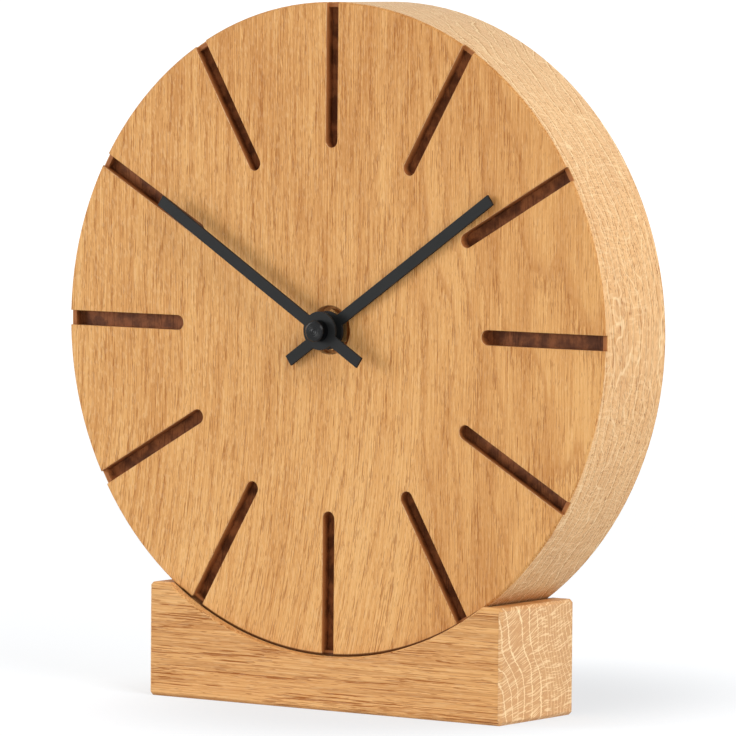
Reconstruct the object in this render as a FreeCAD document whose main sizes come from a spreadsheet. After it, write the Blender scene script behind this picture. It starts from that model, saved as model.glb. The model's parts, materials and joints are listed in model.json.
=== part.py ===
"""Round oak desk clock: a solid disc with twelve routed hour slots, standing in the saddle of an
oak block, driven by a battery quartz movement in a round pocket at its back.

Frame: millimetres, +Z up, the dial faces -Y. The origin is the centre of the block's underside.
Pieces on the hands' axis are drawn about that axis at half the disc's depth and placed by
Placement. "forward" below is the distance from the disc's middle plane towards the dial.
"""

import FreeCAD, Part
import math
import os
import re
import Sketcher

Vector = FreeCAD.Vector

SIZES = {
    # oak disc and its slots
    "disc_radius": 100.0,
    "disc_depth": 34.0,
    "disc_edge_bevel": 0.6,
    "centre_height": 116.5,
    "slot_count": 12.0,
    "slot_width": 4.6,
    "slot_depth": 3.8,
    "slot_inner_radius": 55.6,
    "slot_outer_radius": 98.4,
    "runout_depth": 1.5,
    "recess_radius": 7.5,
    "recess_depth": 3.5,
    "neck_hole_radius": 4.2,
    "pocket_radius": 42.0,
    "pocket_wall": 8.0,
    # oak block
    "base_width": 132.0,
    "base_height": 35.5,
    "base_depth": 40.0,
    "base_edge_bevel": 1.0,
    "saddle_gap": 0.15,
    "saddle_edge_bevel": 0.5,
    # screws from below
    "screw_spacing": 44.0,
    "screw_radius": 2.0,
    "screw_head_across": 7.0,
    "screw_head_height": 2.8,
    "screw_sink": 1.0,
    "screw_length": 34.0,
    "screw_hole_play": 0.05,
    # hands
    "hand_width": 3.5,
    "hand_thickness": 0.8,
    "hand_tail": 17.4,
    "hand_flange_radius": 5.9,
    "minute_hand_length": 71.6,
    "hour_hand_length": 72.6,
    "minute_hand_forward": 21.8,
    "hour_hand_forward": 18.0,
    "hub_collar_radius": 3.5,
    "cap_radius": 3.3,
    "cap_height": 3.1,
    "cap_bevel": 0.45,
    # fixing on the neck
    "nut_across_flats": 11.0,
    "nut_thickness": 2.4,
    "neck_radius": 4.0,
    "neck_forward": 16.4,
    "washer_side": 20.0,
    "washer_thickness": 1.0,
    # quartz movement
    "movement_side": 56.0,
    "movement_corner_round": 3.0,
    "movement_front": 8.0,
    "movement_back": 8.0,
    "shell_wall": 1.2,
    "tray_floor": 1.4,
    "cover_thickness": 1.2,
    "bay_top": 11.6,
    "cell_radius": 7.1,
    "cell_length": 50.5,
    "cell_button_radius": 2.7,
    "cell_button_height": 1.2,
    "contact_thickness": 0.4,
    "contact_height": 11.0,
    # pipes and arbors
    "hour_pipe_radius": 2.5,
    "cannon_radius": 1.7,
    "arbor_radius": 0.5,
    "bearing_depth": 0.6,
    "running_play": 0.05,
    "knob_arbor_radius": 1.2,
    "knob_radius": 5.0,
    "knob_height": 3.0,
    # train: distance of each arbor from its neighbour
    "motion_centres": 9.6,
    "third_centres": 9.0,
    "intermediate_centres": 7.5,
    "rotor_centres": 7.0,
    "wheel_thickness": 0.7,
    "rotor_magnet_radius": 3.0,
    "rotor_magnet_height": 2.4,
    # motor
    "stator_thickness": 1.0,
    "coil_half_length": 10.0,
    "coil_radius": 4.0,
    # circuit board
    "board_thickness": 1.0,
    "crystal_radius": 0.8,
    "crystal_length": 6.0,
}

MINUTE_HAND_ANGLE = 302.0  # degrees clockwise from twelve
HOUR_HAND_ANGLE = 55.17  # ten to two
MOTION_ANGLE = 180.0  # direction from the hands' axis to the motion wheel, anticlockwise from +X
KNOB_ANGLE = 130.0  # from the motion wheel to the setting knob
THIRD_ANGLE = 0.0  # from the hands' axis to the third wheel
INTERMEDIATE_ANGLE = 90.0  # from the hands' axis to the intermediate wheel
ROTOR_ANGLE = 150.0  # from the intermediate wheel to the rotor

KNURLS = 16
PIVOT_SIDES = 8
TOOTH_ADDENDUM = 0.75  # in modules
TOOTH_DEDENDUM = 1.1
GAP_SHARE_AT_TIP = 1.04  # of the circular pitch, so that the teeth come to a point
GAP_SHARE_AT_ROOT = 0.42

doc = FreeCAD.newDocument("DeskClock")
sheet = doc.addObject("Spreadsheet::Sheet", "Sizes")
for row, (alias, size) in enumerate(SIZES.items(), start=1):
    sheet.set(f"A{row}", alias)
    sheet.set(f"B{row}", str(size))
    sheet.setAlias(f"B{row}", alias)
doc.recompute()

SUB_PARTS = []


# ---------------------------------------------------------------- drawing tools


def formula(rule):
    """The expression that reads the sheet: each bare name in the rule becomes a cell of it."""
    return re.sub(r"\b[a-z]\w*\b(?!\()", lambda name: "Sizes." + name.group(0), rule)


def number(value):
    """A plain number as part of a rule."""
    return f"{value:.6f}"


def bind(thing, path, rule):
    thing.setExpression(path, formula(rule))


def new_body(label, x="0", y="0", z="0"):
    """An empty body whose own origin stands at x, y, z."""
    body = doc.addObject("PartDesign::Body", label)
    body.Label = label
    for axis, rule in (("x", x), ("y", y), ("z", z)):
        bind(body, "Placement.Base." + axis, rule)
    SUB_PARTS.append(body)
    return body


def origin_item(body, role):
    return next(item for item in body.Origin.OriginFeatures if item.Role == role)


def new_sketch(body, name, role="XZ_Plane", forward="0"):
    """A sketch on one of the body's origin planes, shifted along the plane's normal.

    On XZ_Plane the sketch's axes are X and Z, and the shift points forward, towards the dial.
    """
    sketch = body.newObject("Sketcher::SketchObject", name)
    sketch.AttachmentSupport = [(origin_item(body, role), "")]
    sketch.MapMode = "FlatFace"
    bind(sketch, "AttachmentOffset.Base.z", forward)
    return sketch


def dimension(sketch, kind, refs, value, rule):
    index = sketch.addConstraint(Sketcher.Constraint(kind, *refs, value))
    name = f"{kind}_{index}"
    sketch.renameConstraint(index, name)
    bind(sketch, "Constraints." + name, rule)


def add_circle(sketch, radius, x="0", y="0"):
    circle = sketch.addGeometry(Part.Circle(Vector(0, 0, 0), Vector(0, 0, 1), 1.0), False)
    dimension(sketch, "Radius", (circle,), 1.0, radius)
    dimension(sketch, "DistanceX", (circle, 3), 0.0, x)
    dimension(sketch, "DistanceY", (circle, 3), 0.0, y)


def add_polygon(sketch, corners):
    """A closed outline of straight lines, both coordinates of every corner bound to a formula."""
    count = len(corners)
    start = [
        Vector(math.cos(2 * math.pi * k / count), math.sin(2 * math.pi * k / count), 0)
        for k in range(count)
    ]
    first = len(sketch.Geometry)
    for k in range(count):
        sketch.addGeometry(Part.LineSegment(start[k], start[(k + 1) % count]), False)
    for k in range(count):
        after = first + (k + 1) % count
        sketch.addConstraint(Sketcher.Constraint("Coincident", first + k, 2, after, 1))
    for k, (x, y) in enumerate(corners):
        dimension(sketch, "DistanceX", (first + k, 1), start[k].x, x)
        dimension(sketch, "DistanceY", (first + k, 1), start[k].y, y)


def add_box_outline(sketch, left, right, low, high):
    add_polygon(sketch, [(left, low), (right, low), (right, high), (left, high)])


def add_flats(sketch, sides, across, x="0", y="0"):
    """A regular outline with that many sides and that width across its flats."""
    reach = f"({across}) / 2 / {number(math.cos(math.pi / sides))}"
    turns = [2 * math.pi * (k + 0.5) / sides for k in range(sides)]
    add_polygon(
        sketch,
        [(f"{number(math.cos(t))} * {reach} + {x}", f"{number(math.sin(t))} * {reach} + {y}") for t in turns],
    )


def add_feature(body, kind, name, sketch, length=None, backward=False, both_ways=False):
    """A Pad or Pocket. A pad grows forward unless backward is set, and a pocket the other way."""
    feature = body.newObject(kind, name)
    feature.Profile = sketch
    if length is None:
        feature.Type = "ThroughAll"
    else:
        bind(feature, "Length", length)
    feature.Reversed = backward
    if both_ways:
        feature.SideType = "Symmetric"
    sketch.Visibility = False
    return feature


def pad(body, name, sketch, length, backward=False, both_ways=False):
    return add_feature(body, "PartDesign::Pad", name, sketch, length, backward, both_ways)


def pocket(body, name, sketch, length=None, forward_cut=False, both_ways=False):
    return add_feature(body, "PartDesign::Pocket", name, sketch, length, forward_cut, both_ways)


def disc(body, name, radius, front, thickness, x="0", z="0"):
    """A round pad from the plane `front` towards the back."""
    sketch = new_sketch(body, name + "_outline", forward=front)
    add_circle(sketch, radius, x, z)
    return pad(body, name, sketch, thickness, backward=True)


def bore(body, name, radius, front, depth=None, x="0", z="0"):
    """A round pocket from the plane `front` towards the back, or through everything."""
    sketch = new_sketch(body, name + "_outline", forward=front)
    add_circle(sketch, radius, x, z)
    return pocket(body, name, sketch, depth, both_ways=depth is None)


def block(body, name, left, right, low, high, front, thickness):
    """A rectangular pad from the plane `front` towards the back."""
    sketch = new_sketch(body, name + "_outline", forward=front)
    add_box_outline(sketch, left, right, low, high)
    return pad(body, name, sketch, thickness, backward=True)


def cut_block(body, name, left, right, low, high, front, depth=None):
    sketch = new_sketch(body, name + "_outline", forward=front)
    add_box_outline(sketch, left, right, low, high)
    return pocket(body, name, sketch, depth, both_ways=depth is None)


def turned(body, name, profile):
    """A solid turned about the body's Y axis. The profile's corners are (radius, y)."""
    sketch = new_sketch(body, name + "_profile", role="XY_Plane")
    add_polygon(sketch, profile)
    feature = body.newObject("PartDesign::Revolution", name)
    feature.Profile = sketch
    feature.ReferenceAxis = (origin_item(body, "Y_Axis"), [""])
    feature.Angle = 360.0
    sketch.Visibility = False
    return feature


def pivot(body, name, front, back):
    """A thin arbor between two planes, drawn with flats inside its round section."""
    sketch = new_sketch(body, name + "_outline", forward=front)
    add_flats(sketch, PIVOT_SIDES, f"2 * arbor_radius * {number(math.cos(math.pi / PIVOT_SIDES))}")
    return pad(body, name, sketch, f"{front} - {back}", backward=True)


def bearing(body, name, face, x, z, into_front=False, depth="bearing_depth + running_play"):
    """A blind hole for a pivot, from the plane `face` towards the back or the front."""
    sketch = new_sketch(body, name + "_outline", forward=face)
    add_flats(sketch, PIVOT_SIDES, "2 * (arbor_radius + running_play)", number(x), number(z))
    return pocket(body, name, sketch, depth, forward_cut=into_front)


def repeat_round(body, name, features, count, axis="Y_Axis"):
    """The same cuts, evenly spaced round an axis of the body."""
    pattern = body.newObject("PartDesign::PolarPattern", name)
    pattern.Originals = features
    pattern.Axis = (origin_item(body, axis), [""])
    pattern.Angle = 360.0
    pattern.Occurrences = int(count)
    body.Tip = pattern
    return pattern


def dress_edges(body, kind, name, path, size, wanted):
    """A dress-up feature on every edge of the body that `wanted` accepts."""
    doc.recompute()
    solid = body.Tip
    edges = [f"Edge{k}" for k, edge in enumerate(solid.Shape.Edges, start=1) if wanted(edge)]
    feature = body.newObject(kind, name)
    feature.Base = (solid, edges)
    bind(feature, path, size)
    body.Tip = feature
    return feature


def round_edges(body, name, radius, wanted):
    return dress_edges(body, "PartDesign::Fillet", name, "Radius", radius, wanted)


def bevel_edges(body, name, size, wanted):
    return dress_edges(body, "PartDesign::Chamfer", name, "Size", size, wanted)


def curve_of(edge):
    """The edge's curve, or None for the offset curves that a fillet leaves."""
    try:
        return edge.Curve
    except TypeError:
        return None


def is_circle(edge, radius, y=None):
    """True for a round edge of that radius, lying at that y where one is given."""
    curve = curve_of(edge)
    if not isinstance(curve, Part.Circle) or abs(curve.Radius - radius) > 1e-4:
        return False
    return y is None or abs(curve.Center.y - y) < 1e-4


def is_flat_at(edge, axis, level):
    """True when the whole edge lies at that level of an axis, 0 for X, 1 for Y and 2 for Z."""
    box = edge.BoundBox
    low = (box.XMin, box.YMin, box.ZMin)[axis]
    high = (box.XMax, box.YMax, box.ZMax)[axis]
    return abs(low - level) < 1e-4 and abs(high - level) < 1e-4


def is_straight(edge):
    return isinstance(curve_of(edge), (Part.Line, Part.LineSegment))


def cut_teeth(body, name, teeth, module, gap_angle):
    """Cuts evenly spaced tooth gaps into the round blank, one of them pointing at gap_angle.

    A gap is a trapezium, wider at the tip than at the root, so that the teeth taper to a point as
    on a clock wheel. gap_angle is in degrees, anticlockwise from +X as drawn on X and Z.
    """
    pitch_radius = module * teeth / 2
    root = pitch_radius - TOOTH_DEDENDUM * module
    tip = pitch_radius + TOOTH_ADDENDUM * module
    root_pitch, tip_pitch = (2 * math.pi * radius / teeth for radius in (root, tip))
    turn = math.radians(gap_angle)
    along = Vector(math.cos(turn), math.sin(turn), 0)
    across = Vector(-along.y, along.x, 0)
    half_root = across * (root_pitch * GAP_SHARE_AT_ROOT / 2)
    half_tip = across * (tip_pitch * GAP_SHARE_AT_TIP / 2)
    corners = [
        along * root - half_root,
        along * tip - half_tip,
        along * tip + half_tip,
        along * root + half_root,
    ]
    sketch = new_sketch(body, name + "_gap_outline")
    add_polygon(sketch, [(number(corner.x), number(corner.y)) for corner in corners])
    gap = pocket(body, name + "_gap", sketch, both_ways=True)
    return repeat_round(body, name + "_gaps", [gap], teeth)


def tip_radius(teeth, module):
    return number(module * teeth / 2 + TOOTH_ADDENDUM * module)


def away(x, z, distance, angle):
    """The point at that distance and angle from x, z."""
    turn = math.radians(angle)
    return x + distance * math.cos(turn), z + distance * math.sin(turn)


def on_axis(label, x=0.0, z=0.0):
    """A body whose own origin stands on the hands' axis, or x to the right of it and z above."""
    return new_body(label, x=number(x), z=f"centre_height + {number(z)}")


# ---------------------------------------------------------------- oak disc


def clock_case():
    """The dial and case in one: a disc milled from glued oak staves.

    From the back a round pocket takes the movement and leaves a wall behind the dial, with a hole
    for the threaded neck and a recess for its nut. Each hour slot is a flat-bottomed channel with
    a round inner end, and leaves the disc through a shallower run-out at the rim.
    """
    body = on_axis("clock_case")
    outline = new_sketch(body, "disc_outline", forward="disc_depth / 2")
    add_circle(outline, "disc_radius")
    pad(body, "disc_blank", outline, "disc_depth", backward=True)
    back = new_sketch(body, "pocket_outline", forward="-disc_depth / 2")
    add_circle(back, "pocket_radius")
    pocket(body, "movement_pocket", back, "disc_depth - pocket_wall", forward_cut=True)
    bore(body, "nut_recess", "recess_radius", "disc_depth / 2", "recess_depth")
    bore(body, "neck_hole", "neck_hole_radius", "disc_depth / 2")

    half_width = "slot_width / 2"
    start = f"slot_inner_radius + {half_width}"
    channel = cut_block(
        body, "slot_channel", "-" + half_width, half_width, start, "slot_outer_radius",
        "disc_depth / 2", "slot_depth",
    )
    end = bore(body, "slot_end", half_width, "disc_depth / 2", "slot_depth", z=start)
    runout = cut_block(
        body, "slot_runout", "-" + half_width, half_width, "slot_outer_radius - 1", "disc_radius + 2",
        "disc_depth / 2", "runout_depth",
    )
    repeat_round(body, "hour_slots", [channel, end, runout], SIZES["slot_count"])

    for side in (-1, 1):
        hole = new_sketch(body, f"screw_pilot_{side + 2}_outline", role="XY_Plane", forward="-disc_radius")
        add_circle(hole, "screw_radius + screw_hole_play", x=f"{side} * screw_spacing / 2")
        depth = "disc_radius - centre_height + screw_sink + screw_length + 1"
        pocket(body, f"screw_pilot_{side + 2}", hole, depth, forward_cut=True)

    radius, half = SIZES["disc_radius"], SIZES["disc_depth"] / 2

    def on_rim(edge):
        return is_circle(edge, radius, half) or is_circle(edge, radius, -half)

    bevel_edges(body, "soft_rim", "disc_edge_bevel", on_rim)
    return body


# ---------------------------------------------------------------- oak block and its screws


def base_block():
    """The stand: a rectangular block with its grain along X and a round saddle for the disc."""
    body = new_body("base_block")
    outline = new_sketch(body, "block_outline", forward="base_depth / 2")
    add_box_outline(outline, "-base_width / 2", "base_width / 2", "0", "base_height")
    pad(body, "block_blank", outline, "base_depth", backward=True)
    saddle = new_sketch(body, "saddle_outline")
    add_circle(saddle, "disc_radius + saddle_gap", y="centre_height + saddle_gap")
    pocket(body, "saddle", saddle, both_ways=True)

    holes = new_sketch(body, "screw_hole_centres", role="XY_Plane")
    for side in (-1, 1):
        add_circle(holes, "screw_radius + screw_hole_play", x=f"{side} * screw_spacing / 2")
    doc.recompute()
    drilled = body.newObject("PartDesign::Hole", "screw_holes")
    drilled.Profile = holes
    drilled.Reversed = True
    drilled.DepthType = "ThroughAll"
    drilled.Threaded = False
    bind(drilled, "Diameter", "2 * (screw_radius + screw_hole_play)")
    drilled.HoleCutType = "Counterbore"
    bind(drilled, "HoleCutDiameter", "1.2 * screw_head_across + 1")
    bind(drilled, "HoleCutDepth", "screw_sink + screw_head_height")

    half_width, half_depth = SIZES["base_width"] / 2, SIZES["base_depth"] / 2

    def on_outside(edge):
        faces = ((0, -half_width), (0, half_width), (1, -half_depth), (1, half_depth))
        return is_straight(edge) and any(is_flat_at(edge, axis, level) for axis, level in faces)

    def on_saddle(edge):
        return is_circle(edge, SIZES["disc_radius"] + SIZES["saddle_gap"])

    bevel_edges(body, "soft_block", "base_edge_bevel", on_outside)
    bevel_edges(body, "soft_saddle", "saddle_edge_bevel", on_saddle)
    return body


def base_screws():
    """Two hexagon-head wood screws, driven from below through the block into the disc."""
    solids = []
    for side in (-1, 1):
        name = f"screw_{side + 2}"
        head = doc.addObject("Part::Prism", name + "_head")
        head.Polygon = 6
        bind(head, "Circumradius", "screw_head_across / sqrt(3)")
        bind(head, "Height", "screw_head_height")
        shank = doc.addObject("Part::Cylinder", name + "_shank")
        bind(shank, "Radius", "screw_radius")
        bind(shank, "Height", "screw_length")
        for solid in (head, shank):
            bind(solid, "Placement.Base.x", f"{side} * screw_spacing / 2")
            bind(solid, "Placement.Base.z", "screw_sink")
        screw = doc.addObject("Part::MultiFuse", name)
        screw.Shapes = [head, shank]
        screw.Refine = True
        solids.append(screw)
    screws = doc.addObject("Part::Compound", "base_screws")
    screws.Label = "base_screws"
    screws.Links = solids
    SUB_PARTS.append(screws)
    return screws


# ---------------------------------------------------------------- hands


def hand(label, length, forward, angle, collar_bore, collar_back):
    """A flat stamped bar with a square tip, a short tail and a round flange with a collar."""
    body = on_axis(label)
    front = f"{forward} + hand_thickness"
    block(
        body, "bar", "-hand_width / 2", "hand_width / 2", "-hand_tail", length, front, "hand_thickness"
    )
    disc(body, "flange", "hand_flange_radius", front, "hand_thickness")
    disc(body, "collar", "hub_collar_radius", front, f"{front} - {collar_back}")
    bore(body, "hub_bore", collar_bore, front)
    body.Placement = FreeCAD.Placement(Vector(), FreeCAD.Rotation(Vector(0, 1, 0), angle))
    return body


def minute_hand():
    """The upper hand, pushed on the cannon pinion's pipe."""
    return hand(
        "minute_hand", "minute_hand_length", "minute_hand_forward", MINUTE_HAND_ANGLE,
        "cannon_radius", "(minute_hand_forward - 1.6)",
    )


def hour_hand():
    """The lower hand, pushed on the hour wheel's pipe, its collar reaching into the recess."""
    return hand(
        "hour_hand", "hour_hand_length", "hour_hand_forward", HOUR_HAND_ANGLE,
        "hour_pipe_radius", "(hour_hand_forward - 1.4)",
    )


def hand_cap():
    """The turned closed nut on the end of the cannon pinion's pipe."""
    body = on_axis("hand_cap")
    back = "-(minute_hand_forward + hand_thickness)"
    front = f"{back} - cap_height"
    turned(
        body, "cap",
        [
            ("cannon_radius", back),
            ("cap_radius", back),
            ("cap_radius", f"{front} + cap_bevel"),
            ("cap_radius - cap_bevel", front),
            ("0", front),
            ("0", f"{front} + 0.8"),
            ("cannon_radius", f"{front} + 0.8"),
        ],
    )
    return body


# ---------------------------------------------------------------- fixing of the movement


def fixing_nut():
    """The thin hexagon nut that clamps the case on the movement's neck, inside the recess."""
    body = on_axis("fixing_nut")
    seat = "disc_depth / 2 - recess_depth"
    front = f"{seat} + nut_thickness"
    sketch = new_sketch(body, "hexagon", forward=front)
    add_flats(sketch, 6, "nut_across_flats")
    pad(body, "nut_blank", sketch, "nut_thickness", backward=True)
    bore(body, "nut_bore", "neck_radius", front)
    return body


def cushion_washer():
    """The square rubber washer between the movement and the inner face of the case."""
    body = on_axis("cushion_washer")
    front = "movement_front + washer_thickness"
    half = "washer_side / 2"
    block(body, "pad", "-" + half, half, "-" + half, half, front, "washer_thickness")
    bore(body, "neck_room", "neck_hole_radius", front)
    return body


# ---------------------------------------------------------------- movement shells

MOTION = away(0, 0, SIZES["motion_centres"], MOTION_ANGLE)
KNOB = away(*MOTION, SIZES["motion_centres"], KNOB_ANGLE)
THIRD = away(0, 0, SIZES["third_centres"], THIRD_ANGLE)
INTERMEDIATE = away(0, 0, SIZES["intermediate_centres"], INTERMEDIATE_ANGLE)
ROTOR = away(*INTERMEDIATE, SIZES["rotor_centres"], ROTOR_ANGLE)

PLATE_POSTS = ((-12.0, 15.0), (18.5, 6.0), (18.5, 15.0))
BOARD_POSTS = ((22.8, -6.5), (22.8, 6.5))
POST_SIDE = 2.6
PLATE_FRONT = 1.9  # forward of the middle plane
PLATE_THICKNESS = 1.0
BOARD_FRONT = -4.0
STATOR_FRONT = -0.9
STATOR_POSTS = ((-12.3, 15.0), (13.0, 11.5))


def post(body, name, x, z, front, back):
    """A square moulded post at x, z, running back from `front` to what it carries at `back`."""
    half = POST_SIDE / 2
    block(
        body, name, number(x - half), number(x + half), number(z - half), number(z + half), front,
        f"{front} - ({back})",
    )


def movement_tray():
    """The moulded front shell: outer walls, battery bay, pillars and the threaded neck."""
    body = on_axis("movement_tray")
    half = "movement_side / 2"
    inner = f"{half} - shell_wall"
    depth = "movement_front + movement_back"
    floor = "movement_front - tray_floor"
    block(body, "tray_blank", "-" + half, half, "-" + half, half, "movement_front", depth)
    doc.recompute()
    side = SIZES["movement_side"] / 2

    def on_corner(edge):
        centre = edge.CenterOfMass
        return is_straight(edge) and min(abs(centre.x), abs(centre.z)) > side - 0.1

    round_edges(body, "soft_corners", "movement_corner_round", on_corner)
    cut_block(
        body, "works_room", f"-({inner})", inner, "-bay_top + shell_wall", inner, floor,
        f"{floor} + movement_back",
    )
    cut_block(
        body, "battery_bay", f"-({inner})", inner, f"-({inner})", "-bay_top", floor,
        f"{floor} + movement_back",
    )
    cut_block(
        body, "cover_seat", f"-({half})", half, "-bay_top", half, "-movement_back + cover_thickness",
        "cover_thickness",
    )
    cut_block(body, "thumb_notch", "-9", "9", f"-({half})", f"-({inner})", "-1", "movement_back - 1")
    disc(body, "neck", "neck_radius", "neck_forward", f"neck_forward - ({floor})")
    bore(body, "neck_bore", "hour_pipe_radius + running_play * 2", "neck_forward")
    for k, (x, z) in enumerate(PLATE_POSTS):
        post(body, f"plate_post_{k + 1}", x, z, floor, number(PLATE_FRONT))
    for k, (x, z) in enumerate(BOARD_POSTS):
        post(body, f"board_post_{k + 1}", x, z, floor, number(BOARD_FRONT))
    for name, (x, z) in (("motion", MOTION), ("third", THIRD), ("knob", KNOB)):
        bearing(body, name + "_bearing", floor, x, z, into_front=True)
    return body


def movement_cover():
    """The moulded rear plate over the wheels, clipped inside the tray's walls."""
    body = on_axis("movement_cover")
    half = "movement_side / 2"
    back = "-movement_back"
    inside = f"{back} + cover_thickness"
    block(body, "cover_plate", "-" + half, half, "-bay_top", half, inside, "cover_thickness")
    side = SIZES["movement_side"] / 2

    def on_top_corner(edge):
        centre = edge.CenterOfMass
        return is_straight(edge) and abs(centre.x) > side - 0.1 and centre.z > side - 0.1

    round_edges(body, "soft_corners", "movement_corner_round", on_top_corner)
    x, z = KNOB
    disc(body, "knob_boss", "knob_radius + 1.2", inside, "cover_thickness + 0.6", number(x), number(z))
    bore(body, "knob_hole", "knob_arbor_radius + running_play", inside, None, number(x), number(z))
    for name, (x, z) in (
        ("centre", (0, 0)), ("motion", MOTION), ("third", THIRD), ("intermediate", INTERMEDIATE),
        ("rotor", ROTOR),
    ):
        bearing(body, name + "_bearing", inside, x, z)
    return body


def middle_plate():
    """The inner bridge that carries the stator and the front pivots of the first two arbors."""
    body = on_axis("middle_plate")
    front = number(PLATE_FRONT)
    block(body, "plate", "-13.7", "20", "4.5", "16.5", front, number(PLATE_THICKNESS))
    for k, (x, z) in enumerate(STATOR_POSTS):
        post(body, f"stator_post_{k + 1}", x, z, front, number(STATOR_FRONT))
    for name, (x, z) in (("intermediate", INTERMEDIATE), ("rotor", ROTOR)):
        bearing(body, name + "_bearing", number(PLATE_FRONT - PLATE_THICKNESS), x, z, into_front=True)
    return body


# ---------------------------------------------------------------- battery and contacts

CELL_AXIS_Z = "-(bay_top + shell_wall / 2 + cell_radius)"
CELL_AXIS_Y = "-(movement_front - tray_floor - cell_radius)"


def battery():
    """One AA cell lying across the bay, its button towards +X."""
    body = new_body("battery", y=CELL_AXIS_Y, z=f"centre_height + ({CELL_AXIS_Z})")
    sketch = new_sketch(body, "cell_profile", role="XY_Plane")
    left, shoulder, right = "-cell_length / 2", "cell_length / 2 - cell_button_height", "cell_length / 2"
    add_polygon(
        sketch,
        [
            (left, "0"), (right, "0"), (right, "cell_button_radius"), (shoulder, "cell_button_radius"),
            (shoulder, "cell_radius"), (left, "cell_radius"),
        ],
    )
    cell = body.newObject("PartDesign::Revolution", "cell")
    cell.Profile = sketch
    cell.ReferenceAxis = (origin_item(body, "X_Axis"), [""])
    cell.Angle = 360.0
    return body


END_WALL = "(movement_side / 2 - shell_wall)"


def contact_positive():
    """A sheet metal plate against the bay's right wall, with a pressed nib for the cell's button."""
    body = new_body("contact_positive", y=CELL_AXIS_Y, z=f"centre_height + ({CELL_AXIS_Z})")
    half = "contact_height / 2"
    plate = new_sketch(body, "plate_outline", role="YZ_Plane", forward=END_WALL)
    add_box_outline(plate, "-" + half, half, "-" + half, half)
    pad(body, "plate", plate, "contact_thickness", backward=True)
    nib = new_sketch(body, "nib_outline", role="YZ_Plane", forward=END_WALL)
    add_circle(nib, "2")
    pad(body, "nib", nib, f"{END_WALL} - cell_length / 2", backward=True)
    return body


def contact_negative():
    """A spring leaf whose ends lie on the bay's left wall and whose middle bows to the cell's end."""
    body = new_body("contact_negative", y=CELL_AXIS_Y, z=f"centre_height + ({CELL_AXIS_Z})")
    foot, crest, lean = "contact_height / 2", "1.5", "0.2"
    bend = "(contact_height / 2 - 1.6)"
    wall_side, wall_top = f"-{END_WALL}", f"-{END_WALL} + contact_thickness"
    bow_side, bow_top = "-cell_length / 2 - contact_thickness", "-cell_length / 2"
    leaf = new_sketch(body, "leaf_outline", role="XY_Plane")
    add_polygon(
        leaf,
        [
            (wall_side, f"-{foot}"), (wall_side, f"-{bend}"), (bow_side, f"-{crest}"), (bow_side, crest),
            (wall_side, bend), (wall_side, foot), (wall_top, foot), (wall_top, f"{bend} + {lean}"),
            (bow_top, f"{crest} + {lean}"), (bow_top, f"-{crest} - {lean}"),
            (wall_top, f"-{bend} - {lean}"), (wall_top, f"-{foot}"),
        ],
    )
    pad(body, "leaf", leaf, "contact_height - 2", both_ways=True)
    return body


# ---------------------------------------------------------------- motor and circuit


def stator():
    """The soft iron plate round the rotor, with two legs up to the coil's core."""
    body = on_axis("stator")
    front = number(STATOR_FRONT)
    thickness = "stator_thickness"
    block(body, "yoke", "-15", "15", "9.4", "14.4", front, thickness)
    block(body, "left_leg", "-15", "-11", "12", "24", front, thickness)
    block(body, "right_leg", "11", "15", "12", "24", front, thickness)
    x, z = ROTOR
    reach = "(rotor_magnet_radius + 2.2)"
    block(
        body, "pole_shoe", f"{number(x)} - {reach}", f"{number(x)} + {reach}", f"{number(z)} - {reach}",
        f"{number(z)} + {reach}", front, thickness,
    )
    bore(body, "rotor_hole", "rotor_magnet_radius + 0.5", front, None, number(x), number(z))
    return body


def coil_core():
    """The iron strip through the coil, lying against the stator's two legs."""
    body = on_axis("coil_core")
    block(body, "strip", "-15", "15", "20", "24", f"{STATOR_FRONT} + 1", "1")
    return body


def coil_bobbin():
    """The moulded reel of the coil: a square tube between two square cheeks."""
    body = on_axis("coil_bobbin")
    sketch = new_sketch(body, "tube_outline", role="YZ_Plane")
    add_box_outline(sketch, "-1.5", "2.3", "19.2", "24.8")
    pad(body, "tube", sketch, "2 * coil_half_length", both_ways=True)
    for side in (-1, 1):
        cheek = new_sketch(
            body, f"cheek_{side + 2}_outline", role="YZ_Plane", forward=f"{side} * coil_half_length"
        )
        add_box_outline(cheek, "-3.8", "4.6", "17.8", "26.2")
        pad(body, f"cheek_{side + 2}", cheek, "1", backward=side > 0)
    through = new_sketch(body, "core_room_outline", role="YZ_Plane")
    add_box_outline(through, "-0.1", "0.9", "20", "24")
    pocket(body, "core_room", through, both_ways=True)
    return body


def coil_winding():
    """The copper winding, which keeps eight flats from the bobbin's square tube."""
    body = on_axis("coil_winding")
    sketch = new_sketch(body, "winding_outline", role="YZ_Plane")
    add_flats(sketch, 8, "2 * coil_radius", x="0.4", y="22")
    pad(body, "winding", sketch, "2 * (coil_half_length - 1)", both_ways=True)
    through = new_sketch(body, "tube_room_outline", role="YZ_Plane")
    add_box_outline(through, "-1.5", "2.3", "19.2", "24.8")
    pocket(body, "tube_room", through, both_ways=True)
    return body


def circuit_board():
    """The small board with its square moulded chip, resting on two pillars of the tray."""
    body = on_axis("circuit_board")
    front = number(BOARD_FRONT)
    block(body, "board", "11", "26", "-8.5", "8.5", front, "board_thickness")
    block(body, "chip", "13.8", "18.2", "-5.7", "-1.3", f"{BOARD_FRONT} - board_thickness", "0.9")
    return body


def quartz_crystal():
    """The tuning fork crystal in its round can, lying on the board."""
    level = f"{-BOARD_FRONT} + board_thickness + crystal_radius"
    body = new_body("quartz_crystal", x="22", y=level, z="centre_height + 2")
    sketch = new_sketch(body, "can_outline", role="XY_Plane")
    add_circle(sketch, "crystal_radius")
    pad(body, "can", sketch, "crystal_length", both_ways=True)
    return body


# ---------------------------------------------------------------- train


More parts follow.
